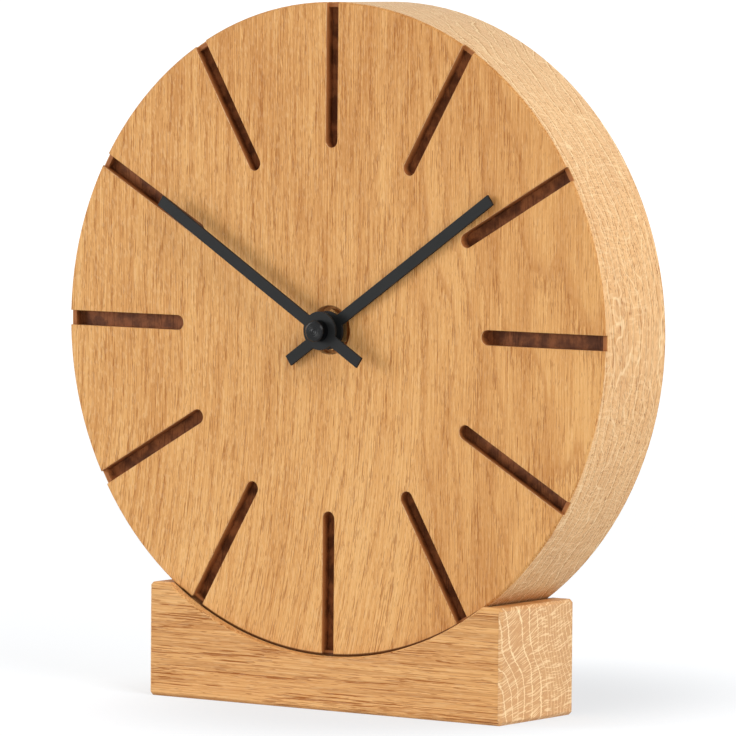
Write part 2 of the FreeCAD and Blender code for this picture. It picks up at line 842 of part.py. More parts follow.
def arbor(body, front, back):
    """The plain arbor of a wheel, its ends standing in the bearings beyond front and back."""
    pivot(body, "arbor", f"{front} + bearing_depth", f"({back} - bearing_depth)")


def toothed_disc(body, name, teeth, module, front, thickness, gap_angle):
    disc(body, name, tip_radius(teeth, module), front, thickness)
    cut_teeth(body, name, teeth, module, gap_angle)


INSIDE_FRONT = "(movement_front - tray_floor - 0.05)"
INSIDE_BACK = "(-(movement_back - cover_thickness - 0.05))"
PLATE_BACK = f"({PLATE_FRONT - PLATE_THICKNESS} - 0.05)"


# the tooth size of each meshing pair, from the arbors' distance and both numbers of teeth
MINUTE_MODULE = 2 * SIZES["motion_centres"] / (10 + 30)
HOUR_MODULE = 2 * SIZES["motion_centres"] / (8 + 32)
CENTRE_MODULE = 2 * SIZES["third_centres"] / (6 + 45)
THIRD_MODULE = 2 * SIZES["third_centres"] / (6 + 48)
SECONDS_MODULE = 2 * SIZES["intermediate_centres"] / (6 + 30)
ROTOR_MODULE = 2 * SIZES["rotor_centres"] / (6 + 36)


def half_pitch(teeth):
    return 180.0 / teeth


def hour_wheel():
    """Thirty-two teeth and the hour hand's pipe, running in the neck."""
    body = on_axis("hour_wheel")
    toothed_disc(body, "wheel", 32, HOUR_MODULE, "6.2", "0.8", MOTION_ANGLE)
    tip = "hour_hand_forward + hand_thickness"
    disc(body, "pipe", "hour_pipe_radius", tip, f"{tip} - 5.4")
    bore(body, "pipe_bore", "cannon_radius + running_play", tip)
    return body


def cannon_pinion():
    """Ten teeth on the pipe that carries the minute hand and its nut."""
    body = on_axis("cannon_pinion")
    toothed_disc(body, "pinion", 10, MINUTE_MODULE, "4.9", "1.2", MOTION_ANGLE + half_pitch(10))
    tip = "minute_hand_forward + hand_thickness + 2"
    disc(body, "pipe", "cannon_radius", tip, f"{tip} - 2.1")
    bearing(body, "seconds_bearing", "2.1", 0, 0, into_front=True, depth="1.9")
    return body


def motion_wheel():
    """Thirty teeth driven by the cannon pinion, and eight teeth that drive the hour wheel."""
    x, z = MOTION
    body = on_axis("motion_wheel", x, z)
    towards_hands = MOTION_ANGLE + 180
    toothed_disc(body, "pinion", 8, HOUR_MODULE, "6.4", "1.6", towards_hands + half_pitch(8))
    toothed_disc(body, "wheel", 30, MINUTE_MODULE, "4.8", "1", towards_hands)
    arbor(body, INSIDE_FRONT, INSIDE_BACK)
    return body


def setting_knob():
    """The knurled knob behind the cover, its arbor ending in a pinion on the motion wheel."""
    x, z = KNOB
    body = on_axis("setting_knob", x, z)
    toothed_disc(body, "pinion", 10, MINUTE_MODULE, "4.8", "1", KNOB_ANGLE + 180 + half_pitch(10))
    end = "movement_back + 0.7 + knob_height"
    disc(body, "arbor", "knob_arbor_radius", "4.8", f"4.8 + {end}")
    pivot(body, "front_pivot", f"{INSIDE_FRONT} + bearing_depth", "4.8")
    disc(body, "knob", "knob_radius", "-movement_back - 0.7", "knob_height")
    sketch = new_sketch(body, "knurl_outline", forward="-movement_back - 0.7")
    add_polygon(
        sketch, [("knob_radius - 0.5", "0"), ("knob_radius + 0.2", "-0.9"), ("knob_radius + 0.2", "0.9")]
    )
    groove = pocket(body, "knurl", sketch, "knob_height")
    repeat_round(body, "knurls", [groove], KNURLS)
    return body


def centre_wheel():
    """Forty-five teeth, held on the cannon pinion's pipe by friction."""
    body = on_axis("centre_wheel")
    toothed_disc(body, "wheel", 45, CENTRE_MODULE, "3.2", "wheel_thickness", THIRD_ANGLE)
    bore(body, "wheel_bore", "cannon_radius + running_play", "3.2")
    return body


def third_wheel():
    """Forty-eight teeth, with the pinion of six that drives the centre wheel."""
    x, z = THIRD
    body = on_axis("third_wheel", x, z)
    towards_hands = THIRD_ANGLE + 180
    toothed_disc(body, "pinion", 6, CENTRE_MODULE, "3.4", "2.8", towards_hands + half_pitch(6))
    toothed_disc(body, "wheel", 48, THIRD_MODULE, "0.6", "wheel_thickness", towards_hands)
    arbor(body, INSIDE_FRONT, INSIDE_BACK)
    return body


def seconds_wheel():
    """Thirty teeth and a pinion of six on the hands' axis, its arbor ending inside the cannon."""
    body = on_axis("seconds_wheel")
    toothed_disc(body, "pinion", 6, THIRD_MODULE, "0.8", "3", THIRD_ANGLE + half_pitch(6))
    toothed_disc(body, "wheel", 30, SECONDS_MODULE, "-2.2", "wheel_thickness", INTERMEDIATE_ANGLE)
    pivot(body, "arbor", "3.4", f"({INSIDE_BACK} - bearing_depth)")
    return body


def intermediate_wheel():
    """Thirty-six teeth driven by the rotor, with the pinion of six that drives the seconds wheel."""
    x, z = INTERMEDIATE
    body = on_axis("intermediate_wheel", x, z)
    towards_seconds = INTERMEDIATE_ANGLE + 180
    toothed_disc(body, "pinion", 6, SECONDS_MODULE, "-2", "2.2", towards_seconds + half_pitch(6))
    toothed_disc(body, "wheel", 36, ROTOR_MODULE, "-4.2", "wheel_thickness", ROTOR_ANGLE)
    arbor(body, PLATE_BACK, INSIDE_BACK)
    return body


def rotor():
    """The magnet of the stepping motor on its pinion of six."""
    x, z = ROTOR
    body = on_axis("rotor", x, z)
    toothed_disc(body, "pinion", 6, ROTOR_MODULE, "-2.7", "2.4", ROTOR_ANGLE + 180 + half_pitch(6))
    disc(body, "magnet", "rotor_magnet_radius", "-0.3", "rotor_magnet_height")
    arbor(body, PLATE_BACK, INSIDE_BACK)
    return body


# ---------------------------------------------------------------- build, test, write


clock_case()
base_block()
base_screws()
hour_hand()
minute_hand()
hand_cap()
fixing_nut()
cushion_washer()
movement_tray()
movement_cover()
middle_plate()
battery()
contact_positive()
contact_negative()
stator()
coil_core()
coil_bobbin()
coil_winding()
circuit_board()
quartz_crystal()
hour_wheel()
cannon_pinion()
motion_wheel()
setting_knob()
centre_wheel()
third_wheel()
seconds_wheel()
intermediate_wheel()
rotor()
doc.recompute()

faults = [item.Name for item in doc.Objects if "Invalid" in item.State or "Error" in item.State]
for part in SUB_PARTS:
    if part.Shape.isNull() or not part.Shape.isValid():
        faults.append(part.Label)
if faults:
    raise RuntimeError("not built: " + ", ".join(faults))

os.makedirs("parts", exist_ok=True)
for part in SUB_PARTS:
    part.Shape.exportStep(os.path.join("parts", part.Label + ".step"))
    size = part.Shape.BoundBox
    print(f"{part.Label:20s} solids {len(part.Shape.Solids)}  volume {part.Shape.Volume:12.2f}  "
          f"x {size.XMin:8.2f} {size.XMax:8.2f}  y {size.YMin:7.2f} {size.YMax:7.2f}  "
          f"z {size.ZMin:7.2f} {size.ZMax:7.2f}")
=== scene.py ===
import json
import math
import bpy
import numpy as np
from mathutils import Matrix, Vector

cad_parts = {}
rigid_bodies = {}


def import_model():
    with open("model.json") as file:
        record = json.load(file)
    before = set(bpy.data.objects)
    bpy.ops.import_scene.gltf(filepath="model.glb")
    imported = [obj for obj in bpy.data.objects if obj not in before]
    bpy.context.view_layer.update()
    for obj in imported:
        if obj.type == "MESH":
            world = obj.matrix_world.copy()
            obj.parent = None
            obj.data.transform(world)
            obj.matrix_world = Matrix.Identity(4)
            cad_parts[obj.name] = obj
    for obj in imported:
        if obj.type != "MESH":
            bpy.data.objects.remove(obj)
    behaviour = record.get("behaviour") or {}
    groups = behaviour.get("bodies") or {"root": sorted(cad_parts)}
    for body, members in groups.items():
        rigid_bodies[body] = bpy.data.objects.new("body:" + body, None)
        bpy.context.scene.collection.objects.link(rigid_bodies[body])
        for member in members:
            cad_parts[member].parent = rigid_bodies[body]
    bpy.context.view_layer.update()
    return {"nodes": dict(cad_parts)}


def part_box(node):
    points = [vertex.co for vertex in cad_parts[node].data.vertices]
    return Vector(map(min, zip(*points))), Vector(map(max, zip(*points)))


for leftover in list(bpy.data.objects):
    bpy.data.objects.remove(leftover)
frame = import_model()
nodes = frame["nodes"]

MM = 0.001


# ------------------------------------------------------------------ camera
# A long lens nearly two metres away, a little above the clock and to its right, so that the dial,
# the right part of the rim and the block's end all show.

DISC_LOW, DISC_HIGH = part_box("clock_case")
HANDS_AXIS = (Vector(DISC_LOW) + Vector(DISC_HIGH)) / 2
DIAL_Y = DISC_LOW[1]
AIM_RIGHT, AIM_DOWN = 14.358 * MM, 10.982 * MM
AIM = Vector((HANDS_AXIS.x + AIM_RIGHT, DIAL_Y, HANDS_AXIS.z - AIM_DOWN))
CAMERA_AZIMUTH = math.radians(34.9685)
CAMERA_ELEVATION = math.radians(3.7213)
CAMERA_ROLL = math.radians(0.4736)
CAMERA_DISTANCE = 1.9763
CAMERA_SENSOR = 36.0
CAMERA_LENS = 317.93


def look_from(azimuth, elevation, roll):
    """The three axes of a camera turned by azimuth about Z, raised by elevation and rolled."""
    back = Vector((
        math.sin(azimuth) * math.cos(elevation), -math.cos(azimuth) * math.cos(elevation), math.sin(elevation)
    ))
    right = Vector((math.cos(azimuth), math.sin(azimuth), 0))
    up = back.cross(right)
    turned_right = right * math.cos(roll) + up * math.sin(roll)
    turned_up = up * math.cos(roll) - right * math.sin(roll)
    return turned_right, turned_up, back


lens = bpy.data.cameras.new("camera")
lens.sensor_width = CAMERA_SENSOR
lens.lens = CAMERA_LENS
lens.clip_start, lens.clip_end = 0.1, 60.0
camera = bpy.data.objects.new("camera", lens)
bpy.context.scene.collection.objects.link(camera)
bpy.context.scene.camera = camera
axes = Matrix(look_from(CAMERA_AZIMUTH, CAMERA_ELEVATION, CAMERA_ROLL)).transposed().to_4x4()
axes.translation = AIM + axes.col[2].xyz * CAMERA_DISTANCE
camera.matrix_world = axes


# ------------------------------------------------------------------ studio
# A wide white table under an even sky. A large soft lamp low at the left throws the hands' shadows
# to the right, one in front fills the dial, and one at the right lights the rim and the block's end.

bpy.context.scene.view_settings.view_transform = "Standard"


def srgb(red, green, blue):
    """A colour given as 0 to 255 on a screen, as the linear values that a shader takes."""
    levels = np.array((red, green, blue)) / 255
    linear = np.where(levels <= 0.04045, levels / 12.92, ((levels + 0.055) / 1.055) ** 2.4)
    return (*(float(level) for level in linear), 1.0)


def new_material(name):
    """An empty node material: its tree, its output node and the material."""
    material = bpy.data.materials.new(name)
    material.use_nodes = True
    material.node_tree.nodes.clear()
    return material.node_tree, material.node_tree.nodes.new("ShaderNodeOutputMaterial"), material


def feed(slot, value):
    """Sets an input to a plain value, or links it to a socket or a Field."""
    if isinstance(value, Field):
        value = value.socket
    if isinstance(value, bpy.types.NodeSocket):
        slot.id_data.links.new(value, slot)
    else:
        slot.default_value = value


def add_node(tree, kind, inputs=None, **settings):
    """A node with its settings and inputs. Inputs are named, or numbered where names repeat."""
    node = tree.nodes.new(kind)
    for key, value in settings.items():
        setattr(node, key, value)
    for key, value in (inputs or {}).items():
        feed(node.inputs[key], value)
    return node


class Field:
    """A number that varies over a surface. Arithmetic on it adds Math nodes to its tree."""

    def __init__(self, socket):
        self.socket = socket
        self.tree = socket.id_data

    def math(self, operation, *others):
        inputs = dict(enumerate((self, *others)))
        return Field(add_node(self.tree, "ShaderNodeMath", inputs, operation=operation).outputs[0])

    def __add__(self, other):
        return self.math("ADD", other)

    def __sub__(self, other):
        return self.math("SUBTRACT", other)

    def __mul__(self, other):
        return self.math("MULTIPLY", other)

    def __truediv__(self, other):
        return self.math("DIVIDE", other)

    def flipped(self):
        """One minus the field."""
        return (self * -1.0) + 1.0

    def fade(self, start, end):
        """A smooth step from 0 at start to 1 at end. An end below start makes it fall."""
        inputs = {"Value": self, "From Min": start, "From Max": end}
        step = add_node(self.tree, "ShaderNodeMapRange", inputs, interpolation_type="SMOOTHSTEP")
        return Field(step.outputs["Result"])


def distance_from(across, along):
    """The distance from an axis: the root of the sum of two squares."""
    return (across * across + along * along).math("SQRT")


def background_rays(tree):
    """1 for the rays that show the background: straight, in a glossy surface or through a clear one."""
    path = add_node(tree, "ShaderNodeLightPath")
    straight, glossy, through = (
        Field(path.outputs[f"Is {kind} Ray"]) for kind in ("Camera", "Glossy", "Transmission")
    )
    return straight.math("MAXIMUM", glossy).math("MAXIMUM", through)


WHITE = srgb(255, 255, 255)
SKY_LEVEL = 0.36
BACKDROP_LEVEL = 1.0

world = bpy.data.worlds.new("studio")
bpy.context.scene.world = world
world.use_nodes = True
tree = world.node_tree
tree.nodes.clear()
lighting = add_node(tree, "ShaderNodeBackground", {"Color": WHITE, "Strength": SKY_LEVEL})
backdrop = add_node(tree, "ShaderNodeBackground", {"Color": WHITE, "Strength": BACKDROP_LEVEL})
sky = add_node(tree, "ShaderNodeMixShader", {
    0: background_rays(tree), 1: lighting.outputs[0], 2: backdrop.outputs[0],
})
add_node(tree, "ShaderNodeOutputWorld", {"Surface": sky.outputs[0]})


def add_lamp(name, place, side, watts):
    """A square soft lamp, placed from the hands' axis, that faces it."""
    light = bpy.data.lights.new(name, "AREA")
    light.shape = "SQUARE"
    light.size = side
    light.energy = watts
    lamp = bpy.data.objects.new(name, light)
    bpy.context.scene.collection.objects.link(lamp)
    lamp.location = HANDS_AXIS + Vector(place)
    lamp.rotation_euler = (-Vector(place)).to_track_quat("-Z", "Y").to_euler()


add_lamp("key_lamp", (-1.9, -1.3, 0.45), side=1.0, watts=29.0)
add_lamp("fill_lamp", (0.3, -2.2, 0.3), side=1.6, watts=4.0)
add_lamp("rim_lamp", (1.8, -0.6, 1.25), side=1.3, watts=40.0)

TABLE_REACH = 30.0
table_mesh = bpy.data.meshes.new("table")
table_mesh.from_pydata(
    [(-TABLE_REACH, -TABLE_REACH, 0), (TABLE_REACH, -TABLE_REACH, 0), (TABLE_REACH, TABLE_REACH, 0),
     (-TABLE_REACH, TABLE_REACH, 0)],
    [], [(0, 1, 2, 3)],
)
table_top = bpy.data.objects.new("table", table_mesh)
bpy.context.scene.collection.objects.link(table_top)
tree, output, material = new_material("table_white")
# what shows of the table: real shadows in a grey diffuse, under a glow that is lower in an oval close to the
# clock, a painted soft shade, and plain white away from it
SHADE_CENTRE = (7 * MM, 26 * MM)
SHADE_STRETCH = 0.73
SHADE_GLOW, NEAR_GLOW, FAR_GLOW = 0.62, 0.21, 0.2
place = add_node(tree, "ShaderNodeSeparateXYZ", {0: add_node(tree, "ShaderNodeTexCoord").outputs["Object"]})
aside = Field(place.outputs[0]) - SHADE_CENTRE[0]
along = (Field(place.outputs[1]) - SHADE_CENTRE[1]) * SHADE_STRETCH
from_centre = distance_from(aside, along)
level = from_centre.fade(0.042, 0.115) * NEAR_GLOW + from_centre.fade(0.3, 2.0) * FAR_GLOW + SHADE_GLOW
glow = add_node(tree, "ShaderNodeEmission", {"Color": WHITE, "Strength": level})
shaded = add_node(tree, "ShaderNodeBsdfDiffuse", {"Color": srgb(133, 137, 142)})
shown = add_node(tree, "ShaderNodeAddShader", {0: shaded.outputs[0], 1: glow.outputs[0]})
# what lights the clock from below: the white table top itself
white = add_node(tree, "ShaderNodeBsdfDiffuse", {"Color": srgb(238, 241, 245)})
table_look = add_node(tree, "ShaderNodeMixShader", {
    0: background_rays(tree), 1: white.outputs[0], 2: shown.outputs[0],
})
feed(output.inputs["Surface"], table_look.outputs[0])
table_mesh.materials.append(material)


# ------------------------------------------------------------------ oak disc
# The dial and case in one: glued oak staves with upright grain, turned to a disc, with twelve
# routed slots whose floors are scorched dark. It has a thin clear oil finish.

def place_in_object(tree):
    """The place on the piece in millimetres, as three Fields."""
    coordinates = add_node(tree, "ShaderNodeTexCoord")
    parts = add_node(tree, "ShaderNodeSeparateXYZ", {0: coordinates.outputs["Object"]})
    return [Field(part) * (1 / MM) for part in parts.outputs]


def facing(tree, axis):
    """How far a surface faces along an axis of the piece, 0 for X, 1 for Y and 2 for Z, either way."""
    coordinates = add_node(tree, "ShaderNodeTexCoord")
    parts = add_node(tree, "ShaderNodeSeparateXYZ", {0: coordinates.outputs["Normal"]})
    return Field(parts.outputs[axis]).math("ABSOLUTE")


def noise(x, y, z, detail=2.0, roughness=0.5):
    """Soft noise between about 0.2 and 0.8 at a place that is already divided by the grain's size."""
    tree = next(part.tree for part in (x, y, z) if isinstance(part, Field))
    place = add_node(tree, "ShaderNodeCombineXYZ", {0: x, 1: y, 2: z}).outputs[0]
    inputs = {"Vector": place, "Scale": 1.0, "Detail": detail, "Roughness": roughness}
    return Field(add_node(tree, "ShaderNodeTexNoise", inputs).outputs["Fac"])


def grain(x, y, z, width, length, detail=2.0, roughness=0.5):
    """Noise drawn out along Z: its streaks have a width and a length in millimetres."""
    return noise(x / width, y / width, z / length, detail, roughness)


def blend(factor, first, second):
    """A colour between two, by a factor from 0 to 1."""
    mixed = add_node(factor.tree, "ShaderNodeMix", {0: factor, 6: first, 7: second}, data_type="RGBA")
    return mixed.outputs[2]


def new_group(name, inputs, outputs):
    """A shader group of plain numbers: its tree, and its inputs as Fields by name."""
    group = bpy.data.node_groups.new(name, "ShaderNodeTree")
    for label in inputs:
        group.interface.new_socket(label, in_out="INPUT", socket_type="NodeSocketFloat")
    for label in outputs:
        group.interface.new_socket(label, in_out="OUTPUT", socket_type="NodeSocketFloat")
    entry = group.nodes.new("NodeGroupInput")
    return group, {label: Field(entry.outputs[label]) for label in inputs}


def use_group(tree, group, inputs):
    """A group placed in a material, as {output name: Field}."""
    placed = add_node(tree, "ShaderNodeGroup", inputs, node_tree=group)
    return {label: Field(socket) for label, socket in placed.outputs.items()}


def make_oak_group():
    """Solid oak in millimetres: X and Y lie across the grain and Z along it.

    Rings are cylinders round a pith at (Pith X, Pith Y) that leans by Lean millimetres of Y per
    millimetre of Z. Their radius is disturbed by noise stretched along the grain, and its remainder
    on division by Ring width says where a point lies in its ring. Crowding adds that many rings
    between 168 and 196 mm. Rays are thin sheets that run outwards from the pith.
    """
    group, given = new_group(
        "solid_oak",
        ("X", "Y", "Z", "Pith X", "Pith Y", "Lean", "Ring width", "Crowding", "Waviness"),
        ("Tone", "Late", "Boundary", "Pores", "Rays", "Streaks"),
    )
    x, y, z = (given[label] for label in "XYZ")
    wave = grain(x, y, z, width=34.0, length=110.0) - 0.5
    sway = noise(x / 13.0 + 7.0, y / 13.0, z / 38.0, detail=1.0) - 0.5
    bend = (wave + sway * 0.3) * given["Waviness"]
    from_pith_x = x - given["Pith X"] + bend
    from_pith_y = y - given["Pith Y"] - z * given["Lean"] + bend
    radius = distance_from(from_pith_x, from_pith_y)
    growth = noise(radius / 14.0, 0.0, 0.0, detail=1.0) * 7.0
    fray = grain(x, y, z, width=0.9, length=13.0, roughness=0.7) * 1.1
    crowded = radius.fade(168.0, 196.0) * given["Crowding"]
    turns = (radius + growth + fray) / given["Ring width"] + crowded
    # a ring ends in dense late wood, and a pale boundary follows where the next ring starts
    within = turns.math("FRACT")
    late = within.fade(0.80, 0.98)
    boundary = within.fade(0.16, 0.08) * within.fade(0.0, 0.03)
    # rays: 0.4 mm thin round the pith, on an arc 170 mm from it, and 4.5 mm long away from it
    around = from_pith_y.math("ARCTAN2", from_pith_x) * 170.0
    rays = noise(radius / 4.5, around / 0.40, z / 2.2, detail=1.0).fade(0.54, 0.62)
    broad = grain(x, y, z, width=11.0, length=90.0, detail=1.0)
    # pores: short and long dashes that crowd where a ring starts
    early = within.fade(0.45, 0.0) * 0.10
    short_pores = (grain(x, y, z, width=0.30, length=2.6, detail=1.0) + early).fade(0.63, 0.68)
    long_pores = (grain(x, y, z, width=0.36, length=8.5, detail=1.0) + early).fade(0.65, 0.70)
    pores = (short_pores * 0.65 + long_pores).math("MINIMUM", 1.0)
    fibre = grain(x, y, z, width=0.30, length=22.0, roughness=0.6)
    streaks = grain(x, y, z, width=1.1, length=34.0, roughness=0.6)
    tone = fibre * 0.56 + streaks * 0.18 + broad * 0.26
    add_node(group, "NodeGroupOutput", {
        "Tone": tone, "Late": late, "Boundary": boundary, "Pores": pores, "Rays": rays, "Streaks": streaks,
    })
    return group


OAK = make_oak_group()


def softened_normal(tree, height, distance, edge_radius):
    """The normal of a surface with rounded edges and a fine relief."""
    edge = add_node(tree, "ShaderNodeBevel", {"Radius": edge_radius}, samples=4)
    inputs = {"Height": height, "Distance": distance, "Normal": edge.outputs[0]}
    return add_node(tree, "ShaderNodeBump", inputs).outputs[0]


OAK_LIGHT = srgb(233, 184, 120)
OAK_MIDDLE = srgb(217, 161, 96)
OAK_DARK = srgb(186, 124, 62)
OAK_PORE = srgb(146, 80, 24)
OAK_CREAM = srgb(250, 220, 172)
OAK_PALE = srgb(240, 202, 156)


def oak_colour(oak, paler, late_strength, pore_strength):
    """Light to dark by tone, turned paler, browner where dense wood ends a ring, dark in the pores."""
    stops = add_node(oak["Tone"].tree, "ShaderNodeValToRGB", {0: oak["Tone"]})
    ramp = stops.color_ramp
    ramp.elements[0].position, ramp.elements[0].color = 0.32, OAK_DARK
    ramp.elements[1].position, ramp.elements[1].color = 0.68, OAK_LIGHT
    ramp.elements.new(0.50).color = OAK_MIDDLE
    ringed = blend(oak["Late"] * late_strength, blend(paler, stops.outputs[0], OAK_PALE), OAK_DARK)
    return blend(oak["Pores"] * pore_strength, ringed, OAK_PORE)


def oak_surface(tree, output, oak, colour, edge_radius):
    """The oiled surface: rougher and sunken in the pores."""
    surface = add_node(tree, "ShaderNodeBsdfPrincipled", {
        "Base Color": colour, "Roughness": oak["Pores"] * 0.15 + 0.55, "Specular IOR Level": 0.18,
        "Normal": softened_normal(tree, oak["Pores"] * -1.0, 0.015 * MM, edge_radius),
    })
    feed(output.inputs["Surface"], surface.outputs[0])


def dress(material, *names):
    """Puts a material on the CAD nodes of these names."""
    for name in names:
        nodes[name].material_slots[0].material = material


# in millimetres: outwards from the hands' axis, back from the dial, and up from the table
DISC_RADIUS = 100.0
STAVE_SEAMS = (-38.0, 33.5)
SLOT_INNER_END, SLOT_OUTER_END = 52.0, 99.6
SLOT_DEEPEST = 5.0
RECESS_RADIUS = 7.4
SADDLE_TOP = 34.5
RIM_LINE_SPACING, RIM_LINE_STRAY = 4.0, 24.0
# the pale oak of the painted light in the recess round the neck
RECESS_LIGHT_OAK = srgb(250, 196, 128)
SLOT_WALL = srgb(172, 108, 58)
SCORCH_DARK, SCORCH_LIGHT, SCORCH_PORE = srgb(92, 48, 20), srgb(148, 88, 48), srgb(50, 24, 10)
# the brown of the painted contact shadow where the disc and the saddle meet
CONTACT_SHADOW_BROWN = srgb(84, 46, 20)

tree, output, material = new_material("oak_disc")
x, y, z = place_in_object(tree)
up = z - HANDS_AXIS.z / MM
left_seam, right_seam = (x.fade(seam - 0.1, seam + 0.1) for seam in STAVE_SEAMS)
stave = left_seam + right_seam
# the grain of the left and middle staves leans over towards the bottom
lowered = (up * -1.0 - 10.0).math("MAXIMUM", 0.0)
swept = x + lowered * lowered * right_seam.flipped() * 0.0013
# each stave comes from another place in the tree
oak = use_group(tree, OAK, {
    "X": swept, "Y": y + stave * 7.0, "Z": up + stave * 90.0, "Pith X": 88.0, "Pith Y": 95.0,
    "Lean": right_seam * -0.13 + 0.08, "Ring width": 3.4, "Crowding": 0.0, "Waviness": 9.0,
})
# towards the bottom the right stave darkens and the others turn lighter, and the disc's top is a
# little darker than the rest
stave_shade = lowered * (right_seam.flipped() * 0.0008 - right_seam * 0.0004)
oak["Tone"] = oak["Tone"] + stave_shade + up.fade(80.0, 20.0) * 0.045 - 0.08
# the rim is paler than the dial, most of all where it cuts across the grain
rim_side = facing(tree, 1).fade(0.5, 0.3)
end_grain = facing(tree, 2).fade(0.2, 0.8) * rim_side
# painted shade: the paleness fades towards the bottom of the rim, where it lies in shadow
rim_pale_and_painted_shade = (rim_side * 0.42 + end_grain * 0.2) * (up.fade(-95.0, -30.0) * 0.6 + 0.4)
colour = oak_colour(oak, rim_pale_and_painted_shade, right_seam * 0.4 + rim_side * 0.1 + 0.2, rim_side * 0.15 + 0.6)
colour = blend(oak["Rays"] * (rim_side * 0.12 + end_grain * 0.25 + 0.12), colour, OAK_CREAM)
# long cream lines that wander over the rim
strayed = y + grain(x, y, up, width=15.0, length=24.0, detail=3.0, roughness=0.4) * RIM_LINE_STRAY
across_line = (strayed / RIM_LINE_SPACING).math("FRACT")
rim_lines = across_line.fade(0.0, 0.04) * across_line.fade(0.15, 0.08)
colour = blend(rim_lines * rim_side * 0.5, colour, OAK_CREAM)
colour = blend(oak["Boundary"] * (rim_side * 0.4 + end_grain * 0.4), colour, OAK_CREAM)
# painted light: pale oak in the recess round the neck, lightening the shade that the hub and nut cast there
outwards = distance_from(x, up)
depth = y - DIAL_Y / MM
painted_recess_light = outwards.fade(RECESS_RADIUS + 0.5, RECESS_RADIUS) * depth.fade(0.1, 0.5)
colour = blend(painted_recess_light * 0.8, colour, RECESS_LIGHT_OAK)
# scorched slots: brown walls that darken with depth under the dial, and dark floors
in_slot_length = outwards.fade(SLOT_INNER_END, SLOT_INNER_END + 2.0)
in_slot_length = in_slot_length * outwards.fade(SLOT_OUTER_END + 0.3, SLOT_OUTER_END)
in_slot = in_slot_length * depth.fade(SLOT_DEEPEST + 1.0, SLOT_DEEPEST)
scorch = noise(x / 5.0, y / 5.0, up / 5.0, detail=3.0, roughness=0.6)
slot_oak = blend(scorch.fade(0.34, 0.66), SCORCH_DARK, SCORCH_LIGHT)
slot_oak = blend(oak["Pores"] * 0.5, slot_oak, SCORCH_PORE)
slot_oak = blend(depth.fade(0.4, 3.4), SLOT_WALL, slot_oak)
colour = blend(depth.fade(0.1, 0.7) * in_slot, colour, slot_oak)
# painted shade: a dark line where the disc's edge meets the saddle, a painted contact shadow
painted_joint_shadow = outwards.fade(DISC_RADIUS - 1.0, DISC_RADIUS - 0.7) * z.fade(SADDLE_TOP, SADDLE_TOP - 1.0)
colour = blend(painted_joint_shadow * 0.85, colour, CONTACT_SHADOW_BROWN)
oak_surface(tree, output, oak, colour, edge_radius=0.35 * MM)
dress(material, "clock_case")


# ------------------------------------------------------------------ oak block
# The stand: one block of oak with its grain along the dial, its edges eased, and a round saddle
# cut across it. Two screws from below hold the disc in it.

OAK_STREAK = srgb(176, 120, 66)
OAK_END = srgb(208, 162, 118)
GRAIN_STRETCH = 2.2

tree, output, material = new_material("oak_block")
x, y, z = place_in_object(tree)
oak = use_group(tree, OAK, {
    "X": z + 40.0, "Y": y, "Z": (x + 300.0) / GRAIN_STRETCH, "Pith X": 15.0, "Pith Y": -170.0, "Lean": 0.03,
    "Ring width": 3.8, "Crowding": 6.0, "Waviness": 12.0,
})
oak["Tone"] = oak["Tone"] - 0.018
# brown streaks along the grain, and cream rings and rays in the sawn ends
end_grain = facing(tree, 0).fade(0.5, 0.8)
colour = oak_colour(oak, end_grain.flipped() * 0.1, 0.25, 0.9)
streaked = oak["Streaks"].fade(0.51, 0.59) * end_grain.flipped()
colour = blend(streaked * 0.5, colour, OAK_STREAK)
colour = blend(end_grain * 0.7, colour, OAK_END)
colour = blend(oak["Rays"] * (end_grain * 0.5 + 0.12), colour, OAK_CREAM)
colour = blend(oak["Boundary"] * end_grain * 0.9, colour, OAK_CREAM)
# painted shade: the saddle is darkened where the disc touches it, a painted contact shadow
from_axis = distance_from(x, z - HANDS_AXIS.z / MM)
behind_dial = y.fade(DIAL_Y / MM - 0.2, DIAL_Y / MM + 0.4)
painted_saddle_shadow = from_axis.fade(DISC_RADIUS + 1.0, DISC_RADIUS + 0.4) * behind_dial
colour = blend(painted_saddle_shadow * 0.8, colour, CONTACT_SHADOW_BROWN)
oak_surface(tree, output, oak, colour, edge_radius=0.9 * MM)
dress(material, "base_block")


# ------------------------------------------------------------------ hands and cap
# Stamped aluminium hands with a matt black coat, and the turned closed nut that holds them, in
# gloss black.

def make_finish_group():
    """Fine unevenness of a made surface: cloudy shade, speckle and handling marks."""
    group, given = new_group("made_surface", ("X", "Y", "Z", "Grain"), ("Cloud", "Speckle", "Wear"))
    x, y, z, size = (given[label] for label in ("X", "Y", "Z", "Grain"))
    cloud = noise(x / 9.0, y / 9.0, z / 9.0, detail=3.0)
    speckle = noise(x / size, y / size, z / size, roughness=0.6)
    wear = noise(x / 3.0, y / 3.0, z / 3.0, detail=4.0, roughness=0.65).fade(0.56, 0.74)
    add_node(group, "NodeGroupOutput", {"Cloud": cloud, "Speckle": speckle, "Wear": wear})
    return group


FINISH = make_finish_group()


